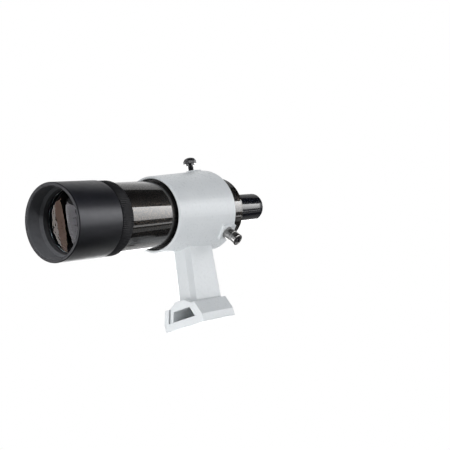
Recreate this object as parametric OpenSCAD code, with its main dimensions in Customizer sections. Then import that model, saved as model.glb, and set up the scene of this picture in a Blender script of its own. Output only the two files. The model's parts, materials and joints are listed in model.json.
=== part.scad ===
// Straight-through finder scope in its ring bracket, on the dovetail shoe it slides into.
// Frame: origin at the centre of the two mounting holes, on the underside of the shoe.
// +X runs along the optical axis from the objective to the eyepiece, +Z up the stalk.

/* [Optical axis] */
// Height of the optical axis above the underside of the shoe
axis_h = 95; // [90:1:110]
// Distance from the shoe's centre to the front rim of the dew shield
front_reach = 133.2; // [128:0.1:140]

/* [Dew shield and cell] */
// Outside diameter of the dew shield
shield_d = 60; // [60:0.5:62]
// Length of the dew shield
shield_len = 44.4; // [42:0.1:46]
// Bore of the dew shield ahead of the tube thread
shield_bore_d = 54; // [54:0.5:54]
// Depth from the front rim to the lens retaining ring
mouth_depth = 14.2; // [13:0.1:15]
// Diameter of the objective elements
lens_d = 50.2; // [50:0.1:50.2]

/* [Lock ring] */
// Outside diameter over the knurling
lock_d = 59; // [58:0.5:60]
// Width of the lock ring
lock_len = 11.9; // [8:0.1:14]
// Number of knurling ridges around the lock ring
lock_ridges = 120; // [90:10:150]

/* [Main tube] */
// Outside diameter of the main tube
tube_d = 55; // [55:0.5:55]
// Wall thickness of the main tube
tube_wall = 1.8; // [1.5:0.1:2.2]
// Rear face of the tube's end cap, measured from the shoe's centre
tube_rear_x = 61.4; // [58:0.1:64]

/* [Eyepiece] */
// Outside diameter of the eyepiece tube
eye_d = 23.9; // [23:0.1:25]
// Rear end of the eyepiece tube, measured from the shoe's centre
eye_rear_x = 110.6; // [108:0.1:114]

/* [Bracket ring] */
// Front face of the ring, measured from the shoe's centre
ring_front_x = -25.7; // [-27:0.1:-24]
// Rear face of the ring, measured from the shoe's centre
ring_rear_x = 42.6; // [41:0.1:45]
// Outside diameter at the front of the ring
ring_front_d = 62.8; // [62:0.1:64]
// Outside diameter at the rear of the ring
ring_rear_d = 69.2; // [68:0.1:70]
// Bore that holds the rubber ring
ring_bore_d = 58.4; // [58.4:0.1:58.4]
// Rear bore around the adjusting screws
ring_rear_bore_d = 64; // [63:0.5:64]
// Centre of the rubber ring, measured from the front face of the ring
seat_depth = 5; // [4.5:0.1:6]

/* [Adjusting screws] */
// Position of the screws along the axis, measured from the shoe's centre
screw_x = 33.8; // [32:0.1:35]
// Angle of the top thumbscrew from upright, towards the side without the clamp screw
top_angle = 6.5; // [0:0.5:8]
// Distance from the optical axis to the top of each thumbscrew's boss
boss_reach = 35.3; // [35.2:0.1:36]
// Distance from the optical axis to the top of the plunger's boss
plunger_boss_reach = 36; // [35.8:0.1:36.6]
// Thread diameter of the thumbscrews
screw_d = 5; // [4:0.5:5]
// Diameter of the thumbscrew heads
head_d = 11; // [10:0.1:13]
// Outside diameter of the spring plunger
plunger_d = 10; // [9.6:0.1:10.4]
// Distance from the optical axis to the outer end of the plunger
plunger_reach = 48.6; // [48:0.1:50]

/* [Stalk and foot] */
// Width of the stalk across its two sides
stalk_w = 19; // [17:0.5:20]
// Chamfer on the stalk's upright corners
stalk_chamfer = 3.6; // [2:0.1:4.5]
// Width of the dovetail foot at its base
foot_w = 31.2; // [30:0.1:32]
// Width of the dovetail foot at its shoulder
foot_top_w = 22.4; // [22:0.1:24]

/* [Shoe] */
// Length of the shoe
shoe_len = 40; // [38:0.5:42]
// Width of the shoe at its base
shoe_w = 42.8; // [42:0.1:46]
// Height of the shoe
shoe_h = 17.4; // [17:0.1:17.6]
// Thickness of the shoe's floor
shoe_floor = 6.4; // [6:0.1:6.6]
// Distance between the two mounting holes
hole_spacing = 24; // [20:1:26]
// Diameter of the mounting holes
hole_d = 4.5; // [4.2:0.1:5.2]
// Side play of the foot in the open shoe
side_play = 1.6; // [1:0.1:2]

/* [Hidden] */
$fn = 96;
round_fn = 48;
lens_steps = 10;
eps = 0.1;
half_turn = 180;
quarter_turn = 90;
full_turn = 360;

// clearances
gap_face = 0.05;
gap_run = 0.08;

// optical axis
axis_y = -side_play / 2;
front_x = -front_reach;
shield_rear_x = front_x + shield_len;
shield_r = shield_d / 2;
shield_bore_r = shield_bore_d / 2;
rim_round = 0.8;
rim_chamfer = 0.4;
thread_depth = 12.7;
tube_r = tube_d / 2;
tube_bore_r = tube_r - tube_wall;
tube_front_x = shield_rear_x - 8.7;
cap_flange = 2.4;
cap_chamfer = 0.9;
cap_spigot_len = 8;
cap_x = tube_rear_x - cap_flange;

// objective
lens_r = lens_d / 2;
keeper_front_x = front_x + mouth_depth;
keeper_flange = 1.4;
keeper_r = shield_bore_r - 2 * gap_face;
keeper_lip = 2.3;
keeper_rim = 0.2;
keeper_cone = 2.2;
keeper_len = 4;
keeper_bore_r = lens_r - 0.8;
keeper_bevel_r = lens_r + 0.1;
cell_r = shield_bore_r - gap_face;
cell_bore_r = lens_r + gap_run;
cell_front_x = keeper_front_x + keeper_flange + gap_face;
cell_rear_x = shield_rear_x - thread_depth - gap_face;
cell_lip = 3;
cell_lip_bore_r = lens_r - 1.3;
crown_relief = 0.3;
crown_edge_x = keeper_front_x + keeper_len + crown_relief;
crown_edge = 2.5;
crown_front_radius = 105;
crown_rear_radius = 80;
element_gap = 0.9;
spacer_bore_r = lens_r - 1.1;
spacer_t = 0.4;
flint_edge_x = crown_edge_x + crown_edge + element_gap;
flint_rear_radius = 140;
flint_relief = 0.3;
flint_rear_x = cell_rear_x - cell_lip - flint_relief;

// lock ring
lock_gap = gap_face;
washer_t = 0.7;
washer_x = shield_rear_x + lock_gap;
lock_x = washer_x + washer_t + lock_gap;
lock_r = lock_d / 2;
lock_bore_r = tube_r + gap_run;
lock_knurl = 0.35;
lock_chamfer = 0.6;
washer_r = lock_r - 1.2;

// rubber ring
seat_x = ring_front_x + seat_depth;
seat_bore_r = ring_bore_d / 2;
seat_land = 6;
rear_bore_r = ring_rear_bore_d / 2;
taper_x = seat_x + 2 * seat_land;
bore_bevel = 0.6;
bore_draft = 1;
rear_bevel = 0.8;
rear_bevel_len = 2;
cord_r = 1.15;
seat_r = seat_bore_r - gap_face - cord_r;
groove_w = 2.7;
groove_r = seat_r - cord_r - gap_face;

// baffles and eyepiece
baffle_t = 1.2;
baffle_front_x = -20;
baffle_front_bore_r = 17.5;
baffle_rear_x = 30;
baffle_rear_bore_r = 12.5;
eye_r = eye_d / 2;
eye_spigot_r = eye_r - 1;
eye_spigot_len = 10;
eye_bore_r = eye_r - 2.35;
eye_mouth_r = eye_r - 1.35;
eye_mouth_depth = 6;
eye_round = 1;
fit_r = eye_bore_r - gap_face;
reticle_x = 70;
reticle_t = 3;
reticle_bore_r = 7.5;
wire_r = 0.06;
field_lens_x = 78;
field_lens_edge = 2;
field_lens_radius = 24;
eye_lens_x = 95;
eye_flint_edge = 4.6;
eye_crown_x = eye_lens_x + eye_flint_edge + 0.1;
eye_crown_edge = 2;
eye_radius = 20;
eye_rear_radius = 30;
tube_spacer_bore_r = fit_r - 0.8;
spacer_x = field_lens_x + field_lens_edge + 0.4;
keeper_eye_t = 2.4;
keeper_eye_bore_r = 7.8;
keeper_eye_x = eye_rear_x - eye_mouth_depth + gap_face;

// screws
pitch = 0.8;
screw_r = screw_d / 2;
thread_cut = 0.35;
tip_r = screw_r - 0.6;
tip_gap = gap_run;
tip_len = 3;
screw_start = tube_r + tip_gap + tip_len + gap_face;
head_start = 41.2;
head_t = 3;
head_dome = 2.6;
dome_steps = 6;
head_ridges = 36;
head_knurl = 0.25;
head_rim = 0.6;
collar_r = 3.6;
collar_t = 1.7;
thread_turns = floor((head_start - collar_t - screw_start) / pitch);
boss_r = 4.5;
boss_rib_w = 8.8;
boss_root = 31;
boss_setback = 0.4;
plunger_boss_w = 13;
plunger_boss_front_x = 26.5;
tap_r = screw_r + gap_run;
side_angle = top_angle - quarter_turn;
plunger_angle = 137;

// spring plunger, measured outwards from the optical axis
plunger_r = plunger_d / 2;
plunger_start = 32.4;
plunger_nose_r = 1.7;
plunger_wall_end = 34.4;
plunger_bore_r = 3.4;
plug_t = 1.4;
plug_recess = 1;
plug_start = plunger_reach - plug_recess - plug_t;
pin_flange_start = 37;
pin_flange_t = 1.4;
pin_stem_r = 0.8;
pin_stem_hole_r = 0.95;
pin_recess = 0.5;
pin_end = plunger_reach - pin_recess;
coil_outer_r = 2.8;
coil_inner_r = 2.1;
coil_arc = 130;
coil_steps = 4;
coil_turns = 4;
coil_fn = 10;
coil_slices = 72;
plunger_edge = 0.4;

// stalk and foot
foot_gap = gap_face;
foot_base_z = shoe_floor + foot_gap;
foot_shoulder_z = 17.9;
foot_roof_z = 21.6;
foot_roof_w = 9;
foot_front_x = -19.6;
foot_rear_x = 21;
foot_hollow_z = 14.4;
foot_hollow_w = 18.2;
foot_hollow_base_w = 25;
foot_back_wall = 4;
stalk_bottom_z = 18;
stalk_top_z = 66;
stalk_front_bottom_x = -12.8;
stalk_front_top_x = -2.8;
stalk_rear_bottom_x = 22.4;
stalk_rear_top_x = 28.2;
face_reach = 60;
stalk_rear_chamfer = 0.5;
ring_edge = 0.9;

// shoe
shoe_half = shoe_w / 2;
shoe_side_h = 6.3;
shoe_top_half = 16.6;
flank_slope = (foot_w - foot_top_w) / 2 / (foot_shoulder_z - foot_base_z);
channel_base_half = foot_w / 2 + side_play / 2 + gap_run + flank_slope * foot_gap;
channel_top_half = channel_base_half - flank_slope * (shoe_h - shoe_floor);
sink_r = 4.6;
clamp_z = 12.2;
clamp_x = 0;
clamp_boss_r = 5.2;
clamp_boss_y = 21.4;
clamp_screw_r = 2.5;
clamp_tap_r = clamp_screw_r + gap_run;
pad_r = 2.3;
pad_len = 3.2;
pad_gap = gap_run;
pad_spare = 1.5;
clamp_flank_y = axis_y + foot_w / 2 - flank_slope * (clamp_z - foot_base_z);
flank_tilt = atan(flank_slope);
pad_back_y = clamp_flank_y + pad_len;
clamp_head_y = 25;

// local Z becomes the optical axis
module on_axis() {
    translate([0, axis_y, axis_h])
        rotate([0, quarter_turn, 0])
            children();
}

// ring turned around the optical axis from points given as radius and distance along the axis
module turned(points) {
    on_axis()
        rotate_extrude()
            polygon(points);
}

// local Z points outwards from the optical axis at the screws, turned by angle from the top
module outwards(angle) {
    translate([screw_x, axis_y, axis_h])
        rotate([angle, 0, 0])
            children();
}

// flat disc outline with ridges all round
module ridged(r, ridges, depth) {
    polygon([for (i = [0 : 2 * ridges - 1])
        let (a = i * half_turn / ridges, q = r - depth * (i % 2)) [q * cos(a), q * sin(a)]]);
}

// threaded rod with a crest at every pitch, from z0 upwards
module threaded_rod(r, z0, turns) {
    rotate_extrude($fn = round_fn)
        polygon(concat([[0, z0]],
            [for (i = [0 : 2 * turns]) [r - thread_cut * ((i + 1) % 2), z0 + i * pitch / 2]],
            [[0, z0 + turns * pitch]]));
}

// black thumbscrew, measured outwards from the optical axis
module thumbscrew(start, head_at, turns) {
    threaded_rod(screw_r, start, turns);
    translate([0, 0, start + turns * pitch - eps])
        cylinder(r = screw_r - thread_cut, h = head_at - collar_t - start - turns * pitch + 2 * eps,
            $fn = round_fn);
    translate([0, 0, head_at - collar_t])
        cylinder(r = collar_r, h = collar_t + eps, $fn = round_fn);
    translate([0, 0, head_at])
        linear_extrude(height = head_t)
            ridged(head_d / 2, head_ridges, head_knurl);
    translate([0, 0, head_at + head_t - eps])
        dome(head_d / 2 - head_rim, head_dome, eps);
}

// rounded cap on a short cylinder
module dome(r, h, root) {
    rotate_extrude($fn = round_fn)
        polygon(concat([[0, 0], [r, 0]],
            [for (i = [0 : dome_steps]) let (a = i * quarter_turn / dome_steps)
                [i == dome_steps ? 0 : r * cos(a), root + h * sin(a)]]));
}

// distance a spherical face of this radius falls back at r from the axis; 0 is a flat face
function sag(radius, r) = radius == 0 ? 0 : radius - sign(radius) * sqrt(radius * radius - r * r);

// lens turned around the optical axis; a face with a positive radius bulges outwards
module lens(r, x_front_edge, x_rear_edge, front_radius, rear_radius) {
    turned(concat(
        [for (i = [0 : lens_steps]) let (q = r * i / lens_steps)
            [q, x_front_edge - sag(front_radius, r) + sag(front_radius, q)]],
        [for (i = [lens_steps : -1 : 0]) let (q = r * i / lens_steps)
            [q, x_rear_edge + sag(rear_radius, r) - sag(rear_radius, q)]]));
}

// upright prism with one chamfered edge face, leaning so that the face runs from x0 to x1
module leaning_face(x0, x1, towards, c) {
    h = stalk_w / 2;
    rise = stalk_top_z - stalk_bottom_z;
    translate([x0, axis_y, stalk_bottom_z])
        rotate([0, atan((x1 - x0) / rise), 0])
            translate([0, 0, -stalk_w])
                linear_extrude(height = rise + 2 * stalk_w)
                    polygon([[0, -h + c], [c * towards, -h], [face_reach * towards, -h],
                        [face_reach * towards, h], [c * towards, h], [0, h - c]]);
}

module stalk() {
    intersection() {
        leaning_face(stalk_front_bottom_x, stalk_front_top_x, 1, stalk_chamfer);
        leaning_face(stalk_rear_bottom_x, stalk_rear_top_x, -1, stalk_rear_chamfer);
        translate([-face_reach, -face_reach, stalk_bottom_z])
            cube([2 * face_reach, 2 * face_reach, stalk_top_z - stalk_bottom_z]);
    }
}

// round pad under a thumbscrew, with a rib running back to the ring's rear
module screw_boss(angle) {
    outwards(angle) {
        translate([0, 0, boss_root])
            cylinder(r = boss_r, h = boss_reach - boss_root, $fn = round_fn);
        translate([0, -boss_rib_w / 2, boss_root])
            cube([ring_rear_x - boss_setback - screw_x, boss_rib_w, boss_reach - boss_root]);
    }
}

module plunger_boss() {
    outwards(plunger_angle)
        translate([plunger_boss_front_x - screw_x, -plunger_boss_w / 2, boss_root])
            cube([ring_rear_x - boss_setback - plunger_boss_front_x, plunger_boss_w,
                plunger_boss_reach - boss_root]);
}

module shoe_body() {
    color([0.86, 0.87, 0.88])
        difference() {
            union() {
                translate([-shoe_len / 2, 0, 0])
                    rotate([quarter_turn, 0, quarter_turn])
                        linear_extrude(height = shoe_len)
                            polygon([[-shoe_half, 0], [shoe_half, 0], [shoe_half, shoe_side_h],
                                [shoe_top_half, shoe_h], [channel_top_half, shoe_h],
                                [channel_base_half, shoe_floor], [-channel_base_half, shoe_floor],
                                [-channel_top_half, shoe_h], [-shoe_top_half, shoe_h],
                                [-shoe_half, shoe_side_h]]);
                translate([clamp_x, channel_base_half + eps, clamp_z])
                    rotate([-quarter_turn, 0, 0])
                        cylinder(r = clamp_boss_r, h = clamp_boss_y - channel_base_half, $fn = round_fn);
            }
            for (side = [-1, 1]) {
                translate([side * hole_spacing / 2, 0, -eps])
                    cylinder(d = hole_d, h = shoe_floor + 2 * eps, $fn = round_fn);
                translate([side * hole_spacing / 2, 0, shoe_floor - sink_r + hole_d / 2])
                    cylinder(r1 = hole_d / 2, r2 = sink_r + eps, h = sink_r - hole_d / 2 + eps,
                        $fn = round_fn);
            }
            translate([clamp_x, 0, clamp_z])
                rotate([-quarter_turn, 0, 0])
                    cylinder(r = clamp_tap_r, h = clamp_boss_y + 1, $fn = round_fn);
        }
}

module clamp_pad() {
    color([0.93, 0.92, 0.86])
        difference() {
            translate([clamp_x, clamp_flank_y - pad_spare, clamp_z])
                rotate([-quarter_turn, 0, 0])
                    cylinder(r = pad_r, h = pad_len + pad_spare, $fn = round_fn);
            translate([clamp_x, clamp_flank_y + pad_gap, clamp_z])
                rotate([flank_tilt, 0, 0])
                    translate([-2 * pad_r, -4 * pad_r, -4 * pad_r])
                        cube([4 * pad_r, 4 * pad_r, 8 * pad_r]);
        }
}

module clamp_screw() {
    color([0.05, 0.05, 0.055])
        translate([clamp_x, 0, clamp_z])
            rotate([-quarter_turn, 0, 0])
                thumbscrew(pad_back_y + gap_face, clamp_head_y + collar_t,
                    floor((clamp_head_y - pad_back_y) / pitch));
}

module bracket() {
    color([0.88, 0.89, 0.9])
        difference() {
            union() {
                turned([[0, ring_front_x], [ring_front_d / 2 - ring_edge, ring_front_x],
                    [ring_front_d / 2, ring_front_x + ring_edge],
                    [ring_rear_d / 2, ring_rear_x - ring_edge],
                    [ring_rear_d / 2 - ring_edge, ring_rear_x], [0, ring_rear_x]]);
                for (angle = [top_angle, side_angle])
                    screw_boss(angle);
                plunger_boss();
                stalk();
                translate([foot_front_x, axis_y, 0])
                    rotate([quarter_turn, 0, quarter_turn])
                        linear_extrude(height = foot_rear_x - foot_front_x)
                            polygon([[-foot_w / 2, foot_base_z], [foot_w / 2, foot_base_z],
                                [foot_top_w / 2, foot_shoulder_z], [foot_roof_w / 2, foot_roof_z],
                                [-foot_roof_w / 2, foot_roof_z], [-foot_top_w / 2, foot_shoulder_z]]);
            }
            turned([[0, ring_front_x - 1], [seat_bore_r + bore_bevel, ring_front_x - 1],
                [seat_bore_r + bore_bevel, ring_front_x], [seat_bore_r, ring_front_x + bore_bevel],
                [seat_bore_r, seat_x + seat_land], [rear_bore_r - bore_draft, taper_x],
                [rear_bore_r, ring_rear_x - rear_bevel_len],
                [rear_bore_r + rear_bevel, ring_rear_x + eps], [0, ring_rear_x + eps]]);
            for (angle = [top_angle, side_angle])
                outwards(angle)
                    translate([0, 0, boss_root - 1])
                        cylinder(r = tap_r, h = boss_reach - boss_root + 2, $fn = round_fn);
            outwards(plunger_angle)
                translate([0, 0, boss_root - 1])
                    cylinder(r = plunger_r + gap_face, h = plunger_boss_reach - boss_root + 2, $fn = round_fn);
            translate([foot_front_x - 1, axis_y, 0])
                rotate([quarter_turn, 0, quarter_turn])
                    linear_extrude(height = foot_rear_x - foot_front_x - foot_back_wall + 1)
                        polygon([[-foot_hollow_base_w / 2, foot_base_z - 1],
                            [foot_hollow_base_w / 2, foot_base_z - 1],
                            [foot_hollow_w / 2, foot_hollow_z], [-foot_hollow_w / 2, foot_hollow_z]]);
        }
}

module plunger_barrel() {
    color([0.75, 0.75, 0.77])
        outwards(plunger_angle)
            rotate_extrude($fn = round_fn)
                polygon([[plunger_nose_r + gap_run, plunger_start], [plunger_r, plunger_start],
                    [plunger_r, plunger_reach - plunger_edge], [plunger_r - plunger_edge, plunger_reach],
                    [plunger_bore_r, plunger_reach], [plunger_bore_r, plunger_wall_end],
                    [plunger_nose_r + gap_run, plunger_wall_end]]);
}

module plunger_plug() {
    color([0.62, 0.62, 0.64])
        outwards(plunger_angle)
            translate([0, 0, plug_start])
                difference() {
                    cylinder(r = plunger_bore_r - gap_face, h = plug_t, $fn = round_fn);
                    translate([0, 0, -eps])
                        cylinder(r = pin_stem_hole_r, h = plug_t + 2 * eps, $fn = round_fn);
                }
}

module plunger_spring() {
    color([0.7, 0.7, 0.72])
        outwards(plunger_angle)
            translate([0, 0, pin_flange_start + pin_flange_t + gap_face])
                linear_extrude(height = plug_start - pin_flange_start - pin_flange_t - 2 * gap_face,
                    twist = -full_turn * coil_turns, slices = coil_slices, $fn = coil_fn)
                    polygon(concat(
                        [for (i = [0 : coil_steps]) let (a = i * coil_arc / coil_steps)
                            [coil_outer_r * cos(a), coil_outer_r * sin(a)]],
                        [for (i = [coil_steps : -1 : 0]) let (a = i * coil_arc / coil_steps)
                            [coil_inner_r * cos(a), coil_inner_r * sin(a)]]));
}

module plunger_pin() {
    color([0.8, 0.8, 0.82])
        outwards(plunger_angle)
            rotate_extrude($fn = round_fn)
                polygon([[0, tube_r + tip_gap], [plunger_nose_r - 0.5, tube_r + tip_gap],
                    [plunger_nose_r, tube_r + tip_gap + 0.5], [plunger_nose_r, pin_flange_start],
                    [plunger_bore_r - gap_run, pin_flange_start],
                    [plunger_bore_r - gap_run, pin_flange_start + pin_flange_t],
                    [pin_stem_r, pin_flange_start + pin_flange_t], [pin_stem_r, pin_end], [0, pin_end]]);
}

module screw_tip(angle) {
    color([0.93, 0.92, 0.86])
        outwards(angle)
            translate([0, 0, tube_r + tip_gap])
                cylinder(r = tip_r, h = tip_len, $fn = round_fn);
}

module top_tip() {
    screw_tip(top_angle);
}

module side_tip() {
    screw_tip(side_angle);
}

module top_screw() {
    color([0.05, 0.05, 0.055])
        outwards(top_angle)
            thumbscrew(screw_start, head_start, thread_turns);
}

module side_screw() {
    color([0.05, 0.05, 0.055])
        outwards(side_angle)
            thumbscrew(screw_start, head_start, thread_turns);
}

module rubber_ring() {
    color([0.04, 0.04, 0.04])
        on_axis()
            translate([0, 0, seat_x])
                rotate_extrude()
                    translate([seat_r, 0])
                        circle(r = cord_r, $fn = round_fn);
}

module main_tube() {
    color([0.03, 0.03, 0.032])
        turned([[tube_bore_r, tube_front_x], [tube_r - 0.5, tube_front_x], [tube_r, tube_front_x + 0.5],
            [tube_r, seat_x - groove_w / 2], [groove_r, seat_x - groove_w / 2],
            [groove_r, seat_x + groove_w / 2], [tube_r, seat_x + groove_w / 2], [tube_r, cap_x],
            [tube_bore_r, cap_x]]);
}

module rear_cap() {
    color([0.05, 0.05, 0.055])
        turned([[eye_spigot_r + gap_face, cap_x - cap_spigot_len],
            [tube_bore_r - gap_face, cap_x - cap_spigot_len], [tube_bore_r - gap_face, cap_x + gap_face],
            [tube_r, cap_x + gap_face], [tube_r, tube_rear_x - cap_chamfer],
            [tube_r - cap_chamfer, tube_rear_x], [eye_spigot_r + gap_face, tube_rear_x]]);
}

module baffle(x, bore) {
    color([0.03, 0.03, 0.03])
        turned([[bore, x], [tube_bore_r - gap_face, x], [tube_bore_r - gap_face, x + baffle_t],
            [bore + 0.6, x + baffle_t], [bore, x + baffle_t / 2]]);
}

module baffle_front() {
    baffle(baffle_front_x, baffle_front_bore_r);
}

module baffle_rear() {
    baffle(baffle_rear_x, baffle_rear_bore_r);
}

module eyepiece_barrel() {
    color([0.03, 0.03, 0.04])
        turned([[eye_bore_r, tube_rear_x - eye_spigot_len], [eye_spigot_r, tube_rear_x - eye_spigot_len],
            [eye_spigot_r, tube_rear_x + gap_face], [eye_r, tube_rear_x + gap_face],
            [eye_r, eye_rear_x - eye_round], [eye_r - eye_round / 2, eye_rear_x - 0.2],
            [eye_r - eye_round, eye_rear_x], [eye_mouth_r, eye_rear_x],
            [eye_mouth_r, eye_rear_x - eye_mouth_depth], [eye_bore_r, eye_rear_x - eye_mouth_depth]]);
}

module reticle_ring() {
    color([0.05, 0.05, 0.05])
        turned([[reticle_bore_r, reticle_x], [fit_r, reticle_x], [fit_r, reticle_x + reticle_t],
            [reticle_bore_r, reticle_x + reticle_t]]);
}

module reticle_wire_level() {
    color([0.02, 0.02, 0.02])
        translate([reticle_x + reticle_t + wire_r, axis_y - reticle_bore_r - 1, axis_h])
            rotate([-quarter_turn, 0, 0])
                cylinder(r = wire_r, h = 2 * reticle_bore_r + 2, $fn = 16);
}

module reticle_wire_upright() {
    color([0.02, 0.02, 0.02])
        translate([reticle_x + reticle_t + 4 * wire_r, axis_y, axis_h - reticle_bore_r - 1])
            cylinder(r = wire_r, h = 2 * reticle_bore_r + 2, $fn = 16);
}

module field_lens() {
    color([0.75, 0.85, 0.9, 0.5])
        lens(fit_r, field_lens_x, field_lens_x + field_lens_edge, 0, field_lens_radius);
}

module eyepiece_spacer() {
    color([0.06, 0.06, 0.06])
        turned([[tube_spacer_bore_r, spacer_x], [fit_r, spacer_x], [fit_r, eye_lens_x - gap_face],
            [tube_spacer_bore_r, eye_lens_x - gap_face]]);
}

module eye_flint() {
    color([0.7, 0.82, 0.88, 0.5])
        lens(fit_r, eye_lens_x, eye_lens_x + eye_flint_edge, 0, -eye_radius);
}

module eye_crown() {
    color([0.78, 0.86, 0.9, 0.5])
        lens(fit_r, eye_crown_x, eye_crown_x + eye_crown_edge, eye_radius, eye_rear_radius);
}

module eye_keeper() {
    color([0.05, 0.05, 0.05])
        turned([[keeper_eye_bore_r, keeper_eye_x], [eye_mouth_r - gap_face, keeper_eye_x],
            [eye_mouth_r - gap_face, keeper_eye_x + keeper_eye_t],
            [keeper_eye_bore_r + 1, keeper_eye_x + keeper_eye_t],
            [keeper_eye_bore_r, keeper_eye_x + keeper_eye_t - 1]]);
}

module objective_crown() {
    color([0.7, 0.72, 0.8, 0.4])
        lens(lens_r, crown_edge_x, crown_edge_x + crown_edge, crown_front_radius, crown_rear_radius);
}

module objective_spacer() {
    color([0.6, 0.6, 0.6])
        turned([[spacer_bore_r, flint_edge_x - spacer_t - gap_face],
            [lens_r, flint_edge_x - spacer_t - gap_face], [lens_r, flint_edge_x - gap_face],
            [spacer_bore_r, flint_edge_x - gap_face]]);
}

module objective_flint() {
    color([0.72, 0.74, 0.78, 0.4])
        lens(lens_r, flint_edge_x, flint_rear_x, -crown_rear_radius, flint_rear_radius);
}

module objective_keeper() {
    color([0.2, 0.2, 0.21])
        turned([[keeper_bevel_r, keeper_front_x], [keeper_r - keeper_rim, keeper_front_x - keeper_lip],
            [keeper_r, keeper_front_x - keeper_lip],
            [keeper_r, keeper_front_x + keeper_flange],
            [lens_r, keeper_front_x + keeper_flange], [lens_r, keeper_front_x + keeper_len],
            [keeper_bore_r, keeper_front_x + keeper_len], [keeper_bore_r, keeper_front_x + keeper_cone]]);
}

module objective_cell() {
    color([0.06, 0.06, 0.065])
        turned([[cell_bore_r, cell_front_x], [cell_r, cell_front_x], [cell_r, cell_rear_x],
            [cell_lip_bore_r, cell_rear_x], [cell_lip_bore_r, cell_rear_x - cell_lip],
            [cell_bore_r, cell_rear_x - cell_lip]]);
}

module dew_shield() {
    color([0.09, 0.09, 0.1])
        turned([[shield_bore_r + rim_chamfer, front_x], [shield_r - rim_round, front_x],
            [shield_r - rim_round / 4, front_x + rim_round / 4], [shield_r, front_x + rim_round],
            [shield_r, shield_rear_x - rim_round], [shield_r - rim_round, shield_rear_x],
            [tube_r + gap_run, shield_rear_x], [tube_r + gap_run, shield_rear_x - thread_depth],
            [shield_bore_r, shield_rear_x - thread_depth], [shield_bore_r, front_x + rim_chamfer]]);
}

module lock_washer() {
    color([0.03, 0.03, 0.03])
        turned([[lock_bore_r, washer_x], [washer_r, washer_x], [washer_r, washer_x + washer_t],
            [lock_bore_r, washer_x + washer_t]]);
}

module lock_ring() {
    color([0.12, 0.12, 0.13])
        on_axis()
            intersection() {
                translate([0, 0, lock_x])
                    linear_extrude(height = lock_len)
                        difference() {
                            ridged(lock_r, lock_ridges, lock_knurl);
                            circle(r = lock_bore_r);
                        }
                translate([0, 0, lock_x])
                    rotate_extrude()
                        polygon([[0, 0], [lock_r - lock_chamfer, 0], [lock_r + eps, lock_chamfer + eps],
                            [lock_r + eps, lock_len - lock_chamfer - eps],
                            [lock_r - lock_chamfer, lock_len], [0, lock_len]]);
            }
}

shoe_body();
clamp_pad();
clamp_screw();
bracket();
plunger_barrel();
plunger_plug();
plunger_spring();
plunger_pin();
top_tip();
top_screw();
side_tip();
side_screw();
rubber_ring();
main_tube();
rear_cap();
baffle_front();
baffle_rear();
eyepiece_barrel();
reticle_ring();
reticle_wire_level();
reticle_wire_upright();
field_lens();
eyepiece_spacer();
eye_flint();
eye_crown();
eye_keeper();
objective_crown();
objective_spacer();
objective_flint();
objective_keeper();
objective_cell();
dew_shield();
lock_washer();
lock_ring();
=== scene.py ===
import bpy
import bmesh
import json
import math
from mathutils import Matrix, Vector


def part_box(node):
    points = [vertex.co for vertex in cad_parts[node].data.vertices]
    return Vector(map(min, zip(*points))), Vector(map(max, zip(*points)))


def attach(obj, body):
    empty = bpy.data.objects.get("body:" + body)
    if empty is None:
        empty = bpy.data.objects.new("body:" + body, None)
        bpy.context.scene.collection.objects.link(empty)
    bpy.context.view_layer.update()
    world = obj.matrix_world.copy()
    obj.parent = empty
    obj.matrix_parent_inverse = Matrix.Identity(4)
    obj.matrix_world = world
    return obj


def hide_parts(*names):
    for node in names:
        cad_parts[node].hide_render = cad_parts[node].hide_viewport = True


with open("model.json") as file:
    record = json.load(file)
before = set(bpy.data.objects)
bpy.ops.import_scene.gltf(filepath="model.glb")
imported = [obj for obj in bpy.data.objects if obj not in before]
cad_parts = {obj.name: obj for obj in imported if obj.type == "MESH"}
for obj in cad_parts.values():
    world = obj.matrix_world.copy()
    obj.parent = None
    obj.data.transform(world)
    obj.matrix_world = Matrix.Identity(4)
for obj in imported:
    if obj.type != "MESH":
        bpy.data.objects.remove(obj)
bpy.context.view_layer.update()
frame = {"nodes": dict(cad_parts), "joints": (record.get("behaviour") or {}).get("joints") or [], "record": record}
MM = 0.001


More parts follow.
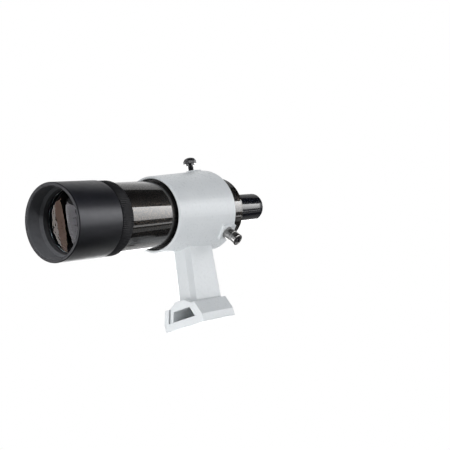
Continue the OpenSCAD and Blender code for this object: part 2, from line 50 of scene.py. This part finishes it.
# ---------------------------------------------------------------- materials
class Shader:
    """A small helper around one material's node tree, with a Principled shader."""

    def __init__(self, name):
        self.mat = bpy.data.materials.new(name)
        self.mat.use_nodes = True
        self.tree = self.mat.node_tree
        self.bsdf = self.tree.nodes["Principled BSDF"]
        self.coords = self.node("ShaderNodeTexCoord")

    def node(self, kind, **values):
        n = self.tree.nodes.new(kind)
        for key, value in values.items():
            if key in n.inputs:
                n.inputs[key].default_value = value
            else:
                setattr(n, key, value)
        return n

    def link(self, a, b):
        self.tree.links.new(a, b)

    def set(self, **values):
        for key, value in values.items():
            self.bsdf.inputs[key.replace("_", " ")].default_value = value

    def to(self, output, name):
        self.link(output, self.bsdf.inputs[name])

    def place(self, stretch=(1, 1, 1)):
        m = self.node("ShaderNodeMapping")
        m.inputs["Scale"].default_value = stretch
        self.link(self.coords.outputs["Object"], m.inputs["Vector"])
        return m.outputs["Vector"]

    def noise(self, scale, detail=4.0, roughness=0.55, stretch=(1, 1, 1)):
        n = self.node("ShaderNodeTexNoise", Scale=scale, Detail=detail, Roughness=roughness)
        self.link(self.place(stretch), n.inputs["Vector"])
        return n.outputs["Fac"]

    def cells(self, scale):
        """Small cells, each with a random colour of its own."""
        n = self.node("ShaderNodeTexVoronoi", feature="F1", Scale=scale)
        self.link(self.coords.outputs["Object"], n.inputs["Vector"])
        pick = self.node("ShaderNodeSeparateColor")
        self.link(n.outputs["Color"], pick.inputs["Color"])
        return pick.outputs["Red"], pick.outputs["Green"]

    def span(self, value, low, high, start=0.0, end=1.0):
        r = self.node("ShaderNodeMapRange")
        r.inputs["From Min"].default_value = start
        r.inputs["From Max"].default_value = end
        r.inputs["To Min"].default_value = low
        r.inputs["To Max"].default_value = high
        self.link(value, r.inputs["Value"])
        return r.outputs["Result"]

    def mix(self, factor, a, b):
        m = self.node("ShaderNodeMix", data_type="RGBA")
        self.link(factor, m.inputs[0])
        for socket, value in ((m.inputs[6], a), (m.inputs[7], b)):
            if isinstance(value, tuple):
                socket.default_value = (*value, 1)
            else:
                self.link(value, socket)
        return m.outputs[2]

    def shade(self, scale, dark, light):
        """Soft clouds between two colours."""
        self.to(self.mix(self.span(self.noise(scale), 0, 1, 0.3, 0.7), dark, light), "Base Color")

    def rough(self, scale, low, high):
        self.to(self.span(self.noise(scale, 4, 0.6), low, high, 0.3, 0.7), "Roughness")

    def bump(self, height, distance, strength, below=None):
        b = self.node("ShaderNodeBump", Distance=distance, Strength=strength)
        self.link(height, b.inputs["Height"])
        if below is not None:
            self.link(below, b.inputs["Normal"])
        return b.outputs["Normal"]


def white_paint():
    s = Shader("white paint")
    s.shade(60, (0.70, 0.725, 0.735), (0.735, 0.757, 0.765))
    s.rough(420, 0.24, 0.36)
    s.set(IOR=1.5, Specular_IOR_Level=0.22)
    peel = s.bump(s.noise(900, 2, 0.5), 0.00005, 0.5)
    s.to(s.bump(s.noise(3200, 2, 0.5), 0.00001, 0.3, peel), "Normal")
    return s.mat


def satin_black():
    s = Shader("satin black anodising")
    s.shade(140, (0.0030, 0.0031, 0.0042), (0.0050, 0.0052, 0.0070))
    s.rough(260, 0.33, 0.41)
    s.set(IOR=1.5, Specular_IOR_Level=0.25, Specular_Tint=(0.93, 0.94, 1.0, 1))
    blast = s.bump(s.noise(5200, 2, 0.6), 0.000008, 0.5)
    s.to(s.bump(s.noise(9000, 2, 0.5, (1, 0.02, 0.02)), 0.000006, 0.5, blast), "Normal")
    return s.mat


def inner_wall():
    s = Shader("dull anodising inside the shield")
    s.shade(200, (0.042, 0.043, 0.046), (0.053, 0.054, 0.058))
    s.rough(600, 0.5, 0.62)
    s.set(Specular_IOR_Level=0.2)
    s.to(s.bump(s.noise(9000, 2, 0.5, (1, 0.02, 0.02)), 0.000006, 0.6), "Normal")
    return s.mat


def dull_end(name, dark, light, level):
    s = Shader(name)
    s.shade(200, dark, light)
    s.rough(900, 0.4, 0.55)
    s.set(Specular_IOR_Level=level)
    s.to(s.bump(s.noise(7000, 2, 0.5), 0.000006, 0.6), "Normal")
    return s.mat


def knurled_black():
    s = Shader("black anodised knurl")
    s.shade(180, (0.005, 0.005, 0.006), (0.010, 0.010, 0.012))
    s.rough(700, 0.36, 0.5)
    s.set(IOR=1.5, Specular_IOR_Level=0.1)
    s.to(s.bump(s.noise(4200, 3, 0.6), 0.00002, 0.6), "Normal")
    return s.mat


def matt_black():
    s = Shader("flat black")
    s.shade(300, (0.008, 0.008, 0.009), (0.016, 0.016, 0.017))
    s.rough(900, 0.6, 0.85)
    s.set(Specular_IOR_Level=0.2)
    s.to(s.bump(s.noise(4000, 3), 0.00002, 0.6), "Normal")
    return s.mat


def tube_gloss():
    s = Shader("gloss black with flake")
    pick, tilt = s.cells(2600.0)
    flake = s.span(pick, 0.0, 1.0, 0.8, 0.87)
    s.to(s.mix(flake, (0.0030, 0.0027, 0.0027), (0.05, 0.036, 0.026)), "Base Color")
    s.to(s.span(flake, 0.0, 1.0), "Metallic")
    s.to(s.span(flake, 0.5, 0.3), "Roughness")
    s.set(Coat_Weight=1.0, Coat_Roughness=0.02, Coat_IOR=1.5, Specular_IOR_Level=0.1)
    s.to(s.bump(tilt, 0.00005, 0.3), "Normal")
    s.to(s.bump(s.noise(220, 2), 0.00003, 0.1), "Coat Normal")
    return s.mat


def eyepiece_gloss():
    s = Shader("gloss black enamel")
    s.shade(120, (0.004, 0.005, 0.008), (0.008, 0.009, 0.014))
    s.rough(700, 0.22, 0.3)
    s.set(Coat_Weight=0.7, Coat_Roughness=0.06, Coat_IOR=1.45, Specular_IOR_Level=0.15)
    s.to(s.bump(s.noise(500, 2), 0.00003, 0.2), "Normal")
    return s.mat


def black_screw():
    s = Shader("black nickel")
    s.shade(400, (0.010, 0.010, 0.012), (0.018, 0.018, 0.022))
    s.rough(900, 0.2, 0.32)
    s.set(Metallic=0.2, Specular_IOR_Level=0.5)
    s.to(s.bump(s.noise(3000, 2), 0.00001, 0.5), "Normal")
    return s.mat


def plated(name, tint, low, high):
    s = Shader(name)
    s.shade(350, tuple(c * 0.88 for c in tint), tint)
    s.rough(1100, low, high)
    s.set(Metallic=1.0)
    s.to(s.bump(s.noise(6000, 2, 0.5), 0.000006, 0.6), "Normal")
    return s.mat


def rubber(name="rubber"):
    s = Shader(name)
    s.shade(500, (0.008, 0.008, 0.008), (0.016, 0.016, 0.016))
    s.rough(1500, 0.5, 0.7)
    s.to(s.bump(s.noise(2600, 3), 0.00003, 0.5), "Normal")
    return s.mat


def nylon():
    s = Shader("nylon")
    s.shade(500, (0.66, 0.64, 0.56), (0.74, 0.72, 0.64))
    s.rough(1500, 0.35, 0.5)
    s.set(Subsurface_Weight=0.2, Subsurface_Radius=(0.002, 0.002, 0.002))
    s.to(s.bump(s.noise(2600, 3), 0.00002, 0.4), "Normal")
    return s.mat


def glass(name, tint, reflected, index=1.55):
    """Clear glass; reflected is what its coating leaves of each colour's reflection."""
    s = Shader(name)
    s.set(Base_Color=(*tint, 1), Transmission_Weight=1.0, IOR=index)
    s.set(Specular_Tint=(*reflected, 1))
    s.to(s.span(s.noise(900, 4), 0.0, 0.02), "Roughness")
    return s.mat


MATERIALS = {
    "white_paint": white_paint(),
    "nylon": nylon(),
    "black_screw": black_screw(),
    "chrome": plated("nickel plate", (0.36, 0.355, 0.35), 0.24, 0.34),
    "steel": plated("turned steel", (0.42, 0.42, 0.43), 0.22, 0.36),
    "rubber": rubber(),
    "tube_gloss": tube_gloss(),
    "matt_black": matt_black(),
    "eyepiece_gloss": eyepiece_gloss(),
    "glass": glass("lens glass", (0.9, 0.93, 0.95), (0.5, 0.53, 0.56)),
    "coated_glass": glass("coated lens front", (0.97, 0.97, 0.98), (0.11, 0.105, 0.128)),
    "satin_black": satin_black(),
    "washer_nylon": rubber("dark nylon washer"),
    "knurled_black": knurled_black(),
}
AMBER_COATING = glass("coated lens rear", (0.97, 0.95, 0.94), (0.4, 0.26, 0.21))
CEMENTED = glass("cemented lens face", (1.0, 1.0, 1.0), (0.0, 0.0, 0.0), 1.0)
BLACK_EDGE = matt_black()
INNER_WALL = inner_wall()
DULL_RIM = dull_end("dull turned end", (0.010, 0.010, 0.012), (0.016, 0.016, 0.019), 0.15)
# painted shade: a darker, nearly unreflecting black on the dew shield's rounded front corner paints the dark line
# of shade where that corner turns away from the light
PAINTED_SHADE_CORNER = dull_end("painted shade on rounded corner", (0.003, 0.003, 0.004), (0.005, 0.005, 0.006), 0.03)
SLOT_OF = {s["node"]: s["material_slot"] for s in frame["record"]["subparts"]}
BODY_OF = {n: b for b, nodes in frame["record"]["behaviour"]["bodies"].items() for n in nodes}

for node_name, node_obj in frame["nodes"].items():
    while len(node_obj.material_slots) == 0:
        node_obj.data.materials.append(None)
    for m in node_obj.material_slots:
        m.link = "OBJECT"
        m.material = MATERIALS[SLOT_OF[node_name]]


# ---------------------------------------------------------------- pieces
def finish_piece(name, bm, node, extra=(), sharp=35):
    """Makes the piece that stands for a CAD node, on its body and in its slot."""
    bmesh.ops.remove_doubles(bm, verts=bm.verts, dist=1e-7)
    bmesh.ops.recalc_face_normals(bm, faces=bm.faces)
    me = bpy.data.meshes.new(name)
    bm.to_mesh(me)
    bm.free()
    me.shade_smooth()
    me.set_sharp_from_angle(angle=math.radians(sharp))
    me.materials.append(MATERIALS[SLOT_OF[node]])
    for m in extra:
        me.materials.append(m)
    obj = bpy.data.objects.new(name, me)
    bpy.context.collection.objects.link(obj)
    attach(obj, BODY_OF[node])
    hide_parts(node)
    return obj


def rounded(corners, steps=5):
    """Corners (along, radius, fillet), in mm, become points with the fillets as arcs."""
    out = []
    for i, (x, r, f) in enumerate(corners):
        p = Vector((x, r))
        if f <= 0:
            out.append(p)
            continue
        a = Vector(corners[i - 1][:2]) - p
        b = Vector(corners[(i + 1) % len(corners)][:2]) - p
        la, lb = a.length, b.length
        a.normalize()
        b.normalize()
        half = a.angle(b) / 2
        cut = min(f / math.tan(half), la * 0.49, lb * 0.49)
        fr = cut * math.tan(half)
        centre = p + (a + b).normalized() * (fr / math.sin(half))
        start, end = p + a * cut - centre, p + b * cut - centre
        for k in range(steps + 1):
            out.append(centre + start.slerp(end, k / steps, start).normalized() * fr)
    return out


class Spin:
    """An axis that profiles are turned round: a point on it and its direction."""

    def __init__(self, point, direction):
        self.point = Vector(point)
        self.along = Vector(direction).normalized()
        self.u = self.along.orthogonal().normalized()
        self.v = self.along.cross(self.u)

    def at(self, x, r, turn):
        around = self.u * math.cos(turn) + self.v * math.sin(turn)
        return self.point + self.along * (x * MM) + around * (r * MM)

    def solid(self, profile, segments, closed, ridge=None):
        """A ring or a capped solid; ridge(index, turn) is taken off a point's radius."""
        bm = bmesh.new()
        rows = []
        for k in range(segments):
            turn = 2 * math.pi * k / segments
            rows.append([bm.verts.new(self.at(p[0], p[1] - (ridge(i, turn) if ridge else 0), turn))
                         for i, p in enumerate(profile)])
        n = len(profile)
        for k in range(segments):
            one, two = rows[k], rows[(k + 1) % segments]
            for i in range(n if closed else n - 1):
                j = (i + 1) % n
                bm.faces.new((one[i], one[j], two[j], two[i]))
        return bm


def box_mm(node):
    low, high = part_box(node)
    return [v / MM for v in low], [v / MM for v in high]


tube_low, tube_high = box_mm("main_tube")
AXIS = Vector((0, (tube_low[1] + tube_high[1]) / 2, (tube_low[2] + tube_high[2]) / 2)) * MM
OPTICAL = Spin(AXIS, (1, 0, 0))


def turned(name, node, corners, segments=192, zones=()):
    """A turned piece; zones = (material, test of a face centre's x and radius in mm), ..."""
    bm = OPTICAL.solid(rounded(corners), segments, True)
    for f in bm.faces:
        c = f.calc_center_median()
        at, off = c.x / MM, (c - AXIS).yz.length / MM
        for i, (_, inside) in enumerate(zones):
            if inside(at, off):
                f.material_index = i + 1
    return finish_piece(name, bm, node, [m for m, _ in zones])


def ends(node):
    """Front and rear of a node along the optical axis, and its outer radius, in mm."""
    low, high = box_mm(node)
    return low[0], high[0], (high[1] - low[1]) / 2


# sizes in mm that the CAD's boxes don't give
SHIELD_BORE = 27.0
THREAD_BORE = 27.62
THREAD_LEN = 12.7
TUBE_BORE = 25.7
GROOVE_FLOOR = 26.8
GROOVE_HALF = 1.35
CAP_FLANGE = 2.35
CAP_BEVEL = 0.9
CAP_RECESS = 0.5
SPIGOT_R = 11.0
EYE_BORE = 9.6
EYE_MOUTH_DEPTH = 6
EYE_WALL = 1.35
LENS_BORE = 25.1
KEEPER_BORE = 24.3
KEEPER_BEVEL = 2.3
KEEPER_FLANGE = 3.7
CELL_LIP = 3
CELL_LIP_BORE = 23.8
EYE_KEEPER_BORE = 7.8
FINE = 256
END_SKIN = 0.02
CORNER = 0.8

x0, x1, r = ends("dew_shield")
turned("dew_shield_turned", "dew_shield", [
    (x0, SHIELD_BORE + 0.4, 0.3), (x0, r, 0.7), (x1, r, 0.6), (x1, THREAD_BORE, 0),
    (x1 - THREAD_LEN, THREAD_BORE, 0), (x1 - THREAD_LEN, SHIELD_BORE, 0),
    (x0 + 1.0, SHIELD_BORE, 0.3)], FINE,
    [(INNER_WALL, lambda x, q: q < SHIELD_BORE + 0.35), (DULL_RIM, lambda x, q: x < x0 + END_SKIN),
     # painted shade: the shield's rounded front corner gets the nearly unreflecting black as a painted dark line
     # of shade
     (PAINTED_SHADE_CORNER, lambda x, q: x0 + END_SKIN < x < x0 + CORNER and q > r - CORNER)])

x0, x1, r = ends("main_tube")
groove = sum(ends("rubber_ring")[:2]) / 2
turned("main_tube_turned", "main_tube", [
    (x0, TUBE_BORE, 0), (x0, r, 0.4), (groove - GROOVE_HALF, r, 0.12),
    (groove - GROOVE_HALF, GROOVE_FLOOR, 0), (groove + GROOVE_HALF, GROOVE_FLOOR, 0),
    (groove + GROOVE_HALF, r, 0.12), (x1, r, 0.05), (x1, TUBE_BORE, 0)], FINE)

x0, x1, r = ends("rear_cap")
turned("rear_cap_turned", "rear_cap", [
    (x0, SPIGOT_R, 0), (x0, TUBE_BORE - 0.1, 0), (x1 - CAP_FLANGE, TUBE_BORE - 0.1, 0),
    (x1 - CAP_FLANGE, r, 0.05), (x1 - CAP_BEVEL, r, 0.15), (x1, r - CAP_BEVEL, 0.15),
    (x1, SPIGOT_R + 1.6, 0.2), (x1 - CAP_RECESS, SPIGOT_R + 1.4, 0.1),
    (x1 - CAP_RECESS, SPIGOT_R, 0)], FINE)

x0, x1, r = ends("eyepiece_barrel")
step = ends("rear_cap")[1] + 0.05
turned("eyepiece_turned", "eyepiece_barrel", [
    (x0, EYE_BORE, 0), (x0, r - 1, 0), (step, r - 1, 0), (step, r, 0.1), (x1, r, 1.1),
    (x1, r - EYE_WALL, 0.2), (x1 - EYE_MOUTH_DEPTH, r - EYE_WALL, 0),
    (x1 - EYE_MOUTH_DEPTH, EYE_BORE, 0)])

x0, x1, r = ends("objective_keeper")
turned("objective_keeper_turned", "objective_keeper", [
    (x0, LENS_BORE + 1.6, 0.05), (x0, r, 0), (x0 + KEEPER_FLANGE, r, 0),
    (x0 + KEEPER_FLANGE, LENS_BORE, 0), (x1, LENS_BORE, 0), (x1, KEEPER_BORE, 0),
    (x0 + KEEPER_BEVEL + 2.2, KEEPER_BORE, 0.15), (x0 + KEEPER_BEVEL, LENS_BORE + 0.1, 0.1)], FINE,
    [(INNER_WALL, lambda x, q: x < x0 + KEEPER_BEVEL),
     (BLACK_EDGE, lambda x, q: x > x0 + KEEPER_BEVEL)])

x0, x1, r = ends("objective_cell")
turned("objective_cell_turned", "objective_cell", [
    (x0, LENS_BORE + 0.08, 0.1), (x0, r, 0.1), (x1, r, 0.1), (x1, CELL_LIP_BORE, 0.1),
    (x1 - CELL_LIP, CELL_LIP_BORE, 0), (x1 - CELL_LIP, LENS_BORE + 0.08, 0)])

x0, x1, r = ends("eye_keeper")
turned("eye_keeper_turned", "eye_keeper", [
    (x0, EYE_KEEPER_BORE, 0), (x0, r, 0.1), (x1, r, 0.15), (x1, EYE_KEEPER_BORE + 1, 0.1),
    (x1 - 1, EYE_KEEPER_BORE, 0.1)], 128)


def knurled_ring():
    """Straight-knurled lock ring with rounded ridges and chamfered ends."""
    x0, x1, r = ends("lock_ring")
    teeth, per_tooth, depth = 120, 8, 0.34
    bore = THREAD_BORE - 0.02
    profile = [(x0, r - 0.9), (x0 + 0.15, r - 0.55), (x0 + 0.8, r), (x1 - 0.8, r),
               (x1 - 0.15, r - 0.55), (x1, r - 0.9), (x1, bore), (x0, bore)]

    def ridge(i, turn):
        return depth * (0.5 - 0.5 * math.cos(turn * teeth)) ** 0.8 if i in (2, 3) else 0

    finish_piece("lock_ring_knurled", OPTICAL.solid(profile, teeth * per_tooth, True, ridge),
                 "lock_ring", sharp=40)


knurled_ring()


def lens(name, node, front_radius, rear_radius, faces):
    """A lens with true spherical faces; faces are its front, edge and rear materials."""
    x0, x1, r = ends(node)
    steps = 28

    def sag(radius, q):
        return 0 if radius == 0 else radius - math.copysign(math.sqrt(radius ** 2 - q ** 2), radius)

    front_edge = x0 + max(sag(front_radius, r), 0)
    rear_edge = x1 - max(sag(rear_radius, r), 0)
    heights = [r * i / steps for i in range(steps + 1)]
    profile = [(front_edge - sag(front_radius, r) + sag(front_radius, q), q) for q in heights]
    profile += [(rear_edge + sag(rear_radius, r) - sag(rear_radius, q), q) for q in heights[::-1]]
    bm = OPTICAL.solid(profile, 128, False)
    bm.faces.ensure_lookup_table()
    n = len(profile) - 1
    for i, f in enumerate(bm.faces):
        at = i % n
        f.material_index = 1 if at == steps else (0 if at < steps else 2)
    obj = finish_piece(name, bm, node, faces[1:])
    obj.data.materials[0] = faces[0]


COATED, CLEAR = MATERIALS["coated_glass"], MATERIALS["glass"]
PAIR_R = 80
EYE_PAIR_R = 20
lens("objective_crown_turned", "objective_crown", 105, PAIR_R, (COATED, BLACK_EDGE, CEMENTED))
lens("objective_flint_turned", "objective_flint", -PAIR_R, 140, (CEMENTED, BLACK_EDGE, AMBER_COATING))
lens("eye_crown_turned", "eye_crown", EYE_PAIR_R, 30, (CLEAR, BLACK_EDGE, COATED))
lens("eye_flint_turned", "eye_flint", 0, -EYE_PAIR_R, (CLEAR, BLACK_EDGE, CLEAR))
lens("field_lens_turned", "field_lens", 0, 24, (CLEAR, BLACK_EDGE, CLEAR))


def joint_axis(name):
    return Vector(next(j["axis"] for j in frame["joints"] if j["name"] == name))


def reach(spin, node):
    """Where a node starts and ends along an axis, in mm."""
    me = frame["nodes"][node].data
    along = [(v.co - spin.point).dot(spin.along) / MM for v in me.vertices]
    return min(along), max(along)


def thumbscrew(name, node, spin):
    """Threaded rod, collar and a domed head with a fine knurl; lengths in mm."""
    start, top = reach(spin, node)
    pitch, cut, rod_r, collar_t, collar_r = 0.8, 0.35, 2.5, 1.7, 3.6
    head_r, dome_r, knurl_t, dome_t, bevel = 5.5, 4.9, 3.0, 2.6, 0.35
    teeth, per_tooth, depth, dome_steps = 36, 6, 0.25, 12
    shoulder = top - dome_t - knurl_t
    collar = shoulder - collar_t
    root = shoulder + knurl_t
    corners = [(start, 0, 0), (start, rod_r - cut, 0)]
    for i in range(2 * int((collar - start) / pitch)):
        corners.append((start + (i + 0.5) * pitch / 2, rod_r - (cut if i % 2 else 0), 0))
    corners += [(collar, rod_r - cut, 0), (collar, collar_r, 0.25), (shoulder, collar_r, 0),
                (shoulder, head_r - 0.3, 0)]
    head = len(corners)
    corners += [(shoulder + bevel, head_r, 0), (root - bevel, head_r, 0),
                (root, head_r - bevel, 0), (root, dome_r, 0)]
    profile = rounded(corners)
    first = next(i for i, p in enumerate(profile) if abs(p[0] - corners[head][0]) < 1e-3)
    for i in range(1, dome_steps + 1):
        a = math.pi / 2 * i / dome_steps
        profile.append(Vector((root + (top - root) * math.sin(a), dome_r * math.cos(a))))
    profile[-1].y = 0.0

    def ridge(i, turn):
        return depth * (0.5 - 0.5 * math.cos(turn * teeth)) if i in (first, first + 1) else 0

    finish_piece(name, spin.solid(profile, teeth * per_tooth, False, ridge), node, sharp=32)


screw_low, screw_high = box_mm("top_screw")
SCREW_POINT = Vector(((screw_low[0] + screw_high[0]) / 2 * MM, AXIS.y, AXIS.z))
clamp_low, clamp_high = box_mm("clamp_screw")
CLAMP_POINT = Vector(((clamp_low[0] + clamp_high[0]) / 2, 0, (clamp_low[2] + clamp_high[2]) / 2)) * MM
for key, spot in (("top", SCREW_POINT), ("side", SCREW_POINT), ("clamp", CLAMP_POINT)):
    thumbscrew(key + "_screw_turned", key + "_screw", Spin(spot, -joint_axis(key + "_press")))

PLUNGER = Spin(SCREW_POINT, joint_axis("plunger_by_top"))


def plunger():
    """The spring plunger's barrel, with a turned line round it, and its end plug."""
    a, b = reach(PLUNGER, "plunger_barrel")
    outer, bore, nose, pin_hole, line, floor = 5.0, 3.4, 1.78, 0.95, b - 6, a + 2
    finish_piece("plunger_barrel_turned", PLUNGER.solid(rounded([
        (a, nose, 0), (a, outer, 0.3), (line - 0.2, outer, 0.05), (line - 0.1, outer - 0.15, 0),
        (line + 0.1, outer - 0.15, 0), (line + 0.2, outer, 0.05), (b, outer, 0.5), (b, bore, 0.25),
        (floor, bore, 0), (floor, nose, 0)]), 128, True), "plunger_barrel")
    a, b = reach(PLUNGER, "plunger_plug")
    finish_piece("plunger_plug_turned", PLUNGER.solid(rounded([
        (a, pin_hole, 0), (a, bore - 0.05, 0.1), (b, bore - 0.05, 0.15), (b, pin_hole, 0.15)]),
        96, True),
        "plunger_plug")


plunger()


def cast(name, node, voxel, rounds, keep):
    """A CAD casting with its edges and corners just rounded, as under a coat of paint."""
    source = frame["nodes"][node].data
    me = source.copy()
    obj = bpy.data.objects.new(name, me)
    bpy.context.collection.objects.link(obj)
    skin = obj.modifiers.new("skin", "REMESH")
    skin.mode = "VOXEL"
    skin.voxel_size = voxel
    soft = obj.modifiers.new("soft", "SMOOTH")
    soft.factor = 0.5
    soft.iterations = rounds
    thin = obj.modifiers.new("thin", "DECIMATE")
    thin.ratio = keep
    shape = bpy.data.meshes.new_from_object(obj.evaluated_get(bpy.context.evaluated_depsgraph_get()))
    bm = bmesh.new()
    bm.from_mesh(shape)
    bpy.data.objects.remove(obj)
    bpy.data.meshes.remove(shape)
    bpy.data.meshes.remove(me)
    finish_piece(name, bm, node, sharp=14)


cast("bracket_cast", "bracket", voxel=0.00036, rounds=2, keep=0.3)
cast("shoe_cast", "shoe_body", voxel=0.00032, rounds=2, keep=0.3)

# ---------------------------------------------------------------- camera
right = Vector((0.62583, -0.73531, -0.26012))
down = Vector((-0.06075, 0.28653, -0.95614))
ahead = Vector((0.77759, 0.61418, 0.13465))
cam = bpy.data.objects.new("camera", bpy.data.cameras.new("camera"))
bpy.context.collection.objects.link(cam)
turn = Matrix((right, -down, -ahead)).transposed()
cam.matrix_world = Matrix.Translation((-0.6531, -0.5675, -0.0436)) @ turn.to_4x4()
cam.data.lens = 84.0
cam.data.sensor_width = 36.0
cam.data.clip_start, cam.data.clip_end = 0.01, 50
bpy.context.scene.camera = cam


# ---------------------------------------------------------------- stage and light
def glowing(name, colour, glow, falls=None):
    """A plain emitter; falls = (start, end) fades its strength along the panel's own v."""
    m = bpy.data.materials.new(name)
    m.use_nodes = True
    t = m.node_tree
    t.nodes.remove(t.nodes["Principled BSDF"])
    e = t.nodes.new("ShaderNodeEmission")
    e.inputs["Color"].default_value = (*colour, 1)
    e.inputs["Strength"].default_value = glow
    if falls:
        uv = t.nodes.new("ShaderNodeUVMap")
        split = t.nodes.new("ShaderNodeSeparateXYZ")
        fade = t.nodes.new("ShaderNodeMapRange")
        fade.inputs["To Min"].default_value, fade.inputs["To Max"].default_value = falls
        t.links.new(uv.outputs["UV"], split.inputs["Vector"])
        t.links.new(split.outputs["Y"], fade.inputs["Value"])
        t.links.new(fade.outputs["Result"], e.inputs["Strength"])
    t.links.new(e.outputs["Emission"], t.nodes["Material Output"].inputs["Surface"])
    return m


def stage_piece(name, bm, material, seen_by):
    """Adds a stage object that only the named kinds of ray see."""
    me = bpy.data.meshes.new(name)
    bm.to_mesh(me)
    bm.free()
    me.shade_smooth()
    me.materials.append(material)
    obj = bpy.data.objects.new(name, me)
    bpy.context.collection.objects.link(obj)
    for kind in ("camera", "diffuse", "glossy", "transmission", "shadow"):
        setattr(obj, "visible_" + kind, kind in seen_by)


def studio():
    """A floor that sweeps up all round into the backdrop, pale and evenly bright."""
    bm = bmesh.new()
    prof = [(0.0, -0.13), (0.6, -0.13), (1.2, -0.13), (1.7, -0.12), (2.2, -0.02), (2.7, 0.25),
            (3.1, 0.7), (3.35, 1.3), (3.5, 2.0), (3.5, 3.2), (2.5, 4.0), (0.0, 4.3)]
    rows = []
    sides = 96
    for k in range(sides):
        a = 2 * math.pi * k / sides
        rows.append([bm.verts.new((q * math.cos(a), q * math.sin(a), z)) for q, z in prof])
    for k in range(sides):
        one, two = rows[k], rows[(k + 1) % sides]
        for i in range(len(prof) - 1):
            bm.faces.new((one[i], one[i + 1], two[i + 1], two[i]))
    bmesh.ops.remove_doubles(bm, verts=bm.verts, dist=1e-6)
    stage_piece("floor_and_backdrop", bm, glowing("pale backdrop", (1, 1, 1), 1.0), ("camera",))


def reflector(name, low_deg, high_deg, low_glow, high_glow, start, end, side=-1, distance=0.8):
    """A long panel curved round the scope, which only glossy rays see."""
    bm = bmesh.new()
    uv = bm.loops.layers.uv.new("UVMap")
    steps = 12
    rows = []
    for i in range(steps + 1):
        b = math.radians(low_deg + (high_deg - low_deg) * i / steps)
        y, z = side * distance * math.cos(b), AXIS.z + distance * math.sin(b)
        rows.append((bm.verts.new((start, y, z)), bm.verts.new((end, y, z)), i / steps))
    for (a0, a1, va), (b0, b1, vb) in zip(rows, rows[1:]):
        f = bm.faces.new((a0, a1, b1, b0))
        for loop, v in zip(f.loops, (va, va, vb, vb)):
            loop[uv].uv = (0.5, v)
    stage_piece(name, bm, glowing(name, (1, 1, 1), high_glow, (low_glow, high_glow)), ("glossy",))


def card(name, left_deg, right_deg, low_deg, high_deg, glow, colour, seen_by, lean=0, distance=1.2):
    """A card in front of the lens; degrees are from straight ahead of it towards +Y, and up."""
    bm = bmesh.new()
    centre = Vector((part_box("objective_crown")[0][0], AXIS.y, AXIS.z))
    rows = []
    steps = 12
    for i in range(steps + 1):
        row = []
        for e in (low_deg, high_deg):
            a = math.radians(left_deg + (right_deg - left_deg) * i / steps + lean * e)
            up = math.tan(math.radians(e))
            row.append(bm.verts.new(centre + Vector((-math.cos(a), math.sin(a), up)) * distance))
        rows.append(row)
    for one, two in zip(rows, rows[1:]):
        bm.faces.new((one[0], one[1], two[1], two[0]))
    stage_piece(name, bm, glowing(name, colour, glow), seen_by)


def softbox(name, place, aim, size, watts):
    """A soft light that glossy rays don't see."""
    light = bpy.data.lights.new(name, "AREA")
    light.shape = "RECTANGLE"
    light.size, light.size_y = size
    light.energy = watts
    obj = bpy.data.objects.new(name, light)
    bpy.context.collection.objects.link(obj)
    obj.location = place
    obj.rotation_mode = "QUATERNION"
    obj.rotation_quaternion = (Vector(aim) - Vector(place)).to_track_quat("-Z", "Z")
    obj.visible_glossy = False
    return obj


def shines_only_on(light, names):
    """Keeps a softbox to the named pieces."""
    only = bpy.data.collections.new(light.name + "_reach")
    for name in names:
        only.objects.link(bpy.data.objects[name])
    light.light_linking.receiver_collection = only


studio()
centre = Vector((0.0, 0.0, 0.08))
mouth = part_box("dew_shield")[0][0]
inside = softbox("mouth_softbox", (-0.63, -0.6, 0.72), (mouth, AXIS.y, AXIS.z), (0.12, 0.12), 15.0)
shines_only_on(inside, ("dew_shield_turned", "objective_keeper_turned"))
softbox("key_softbox", (0.4, -1.05, 0.3), centre, (0.9, 0.6), 0.6)
front = softbox("front_softbox", (-1.1, -0.15, -0.3), centre, (0.6, 0.6), 4.8)
shines_only_on(front, ("bracket_cast", "shoe_cast"))

# panels: degrees up from level at the two edges, strength there, and the two ends' x in m
reflector("side_panel", -29, 14, 3.6, 9.3, -0.1, 1.5)
reflector("low_strip", -49.5, -43.5, 2.2, 2.2, -0.1, 1.5)
reflector("low_grey", -68, -55, 0.5, 0.5, -0.1, 1.5)
reflector("floor_glow", -160, -98, 1.0, 0.6, -1.2, 1.03)
reflector("floor_rear", -160, -90, 0.2, 0.2, 1.04, 1.5)
reflector("ceiling_glow", 82, 150, 0.7, 0.95, -1.2, 1.03)
reflector("ceiling_rear", 78, 150, 0.3, 0.3, 1.04, 1.5)
reflector("far_panel", -20, 16, 4.0, 7.0, -0.1, 1.5, side=1)

# cards before the lens: glossy rays are its front face's reflections, transmission rays its rear face's
card("front_card", 0, 47, -40, 60, 7.0, (1, 1, 1), ("glossy",))
card("inner_card_far", 10, 25, -24, 60, 4.1, (1.0, 0.98, 0.94), ("transmission",), lean=-0.15)
card("glint_card", 54.5, 57.5, -6.5, -3, 90.0, (1, 1, 1), ("glossy",))
card("inner_card_near", -8, 10, -21, 60, 12.9, (0.65, 0.87, 1.0), ("transmission",), lean=-0.15)

world = bpy.data.worlds.new("studio_air")
bpy.context.scene.world = world
world.use_nodes = True
world.node_tree.nodes["Background"].inputs["Color"].default_value = (0.96, 0.975, 1.0, 1)
world.node_tree.nodes["Background"].inputs["Strength"].default_value = 0.68
world.cycles_visibility.glossy = False
world.cycles_visibility.transmission = False
bpy.context.scene.view_settings.view_transform = "Standard"
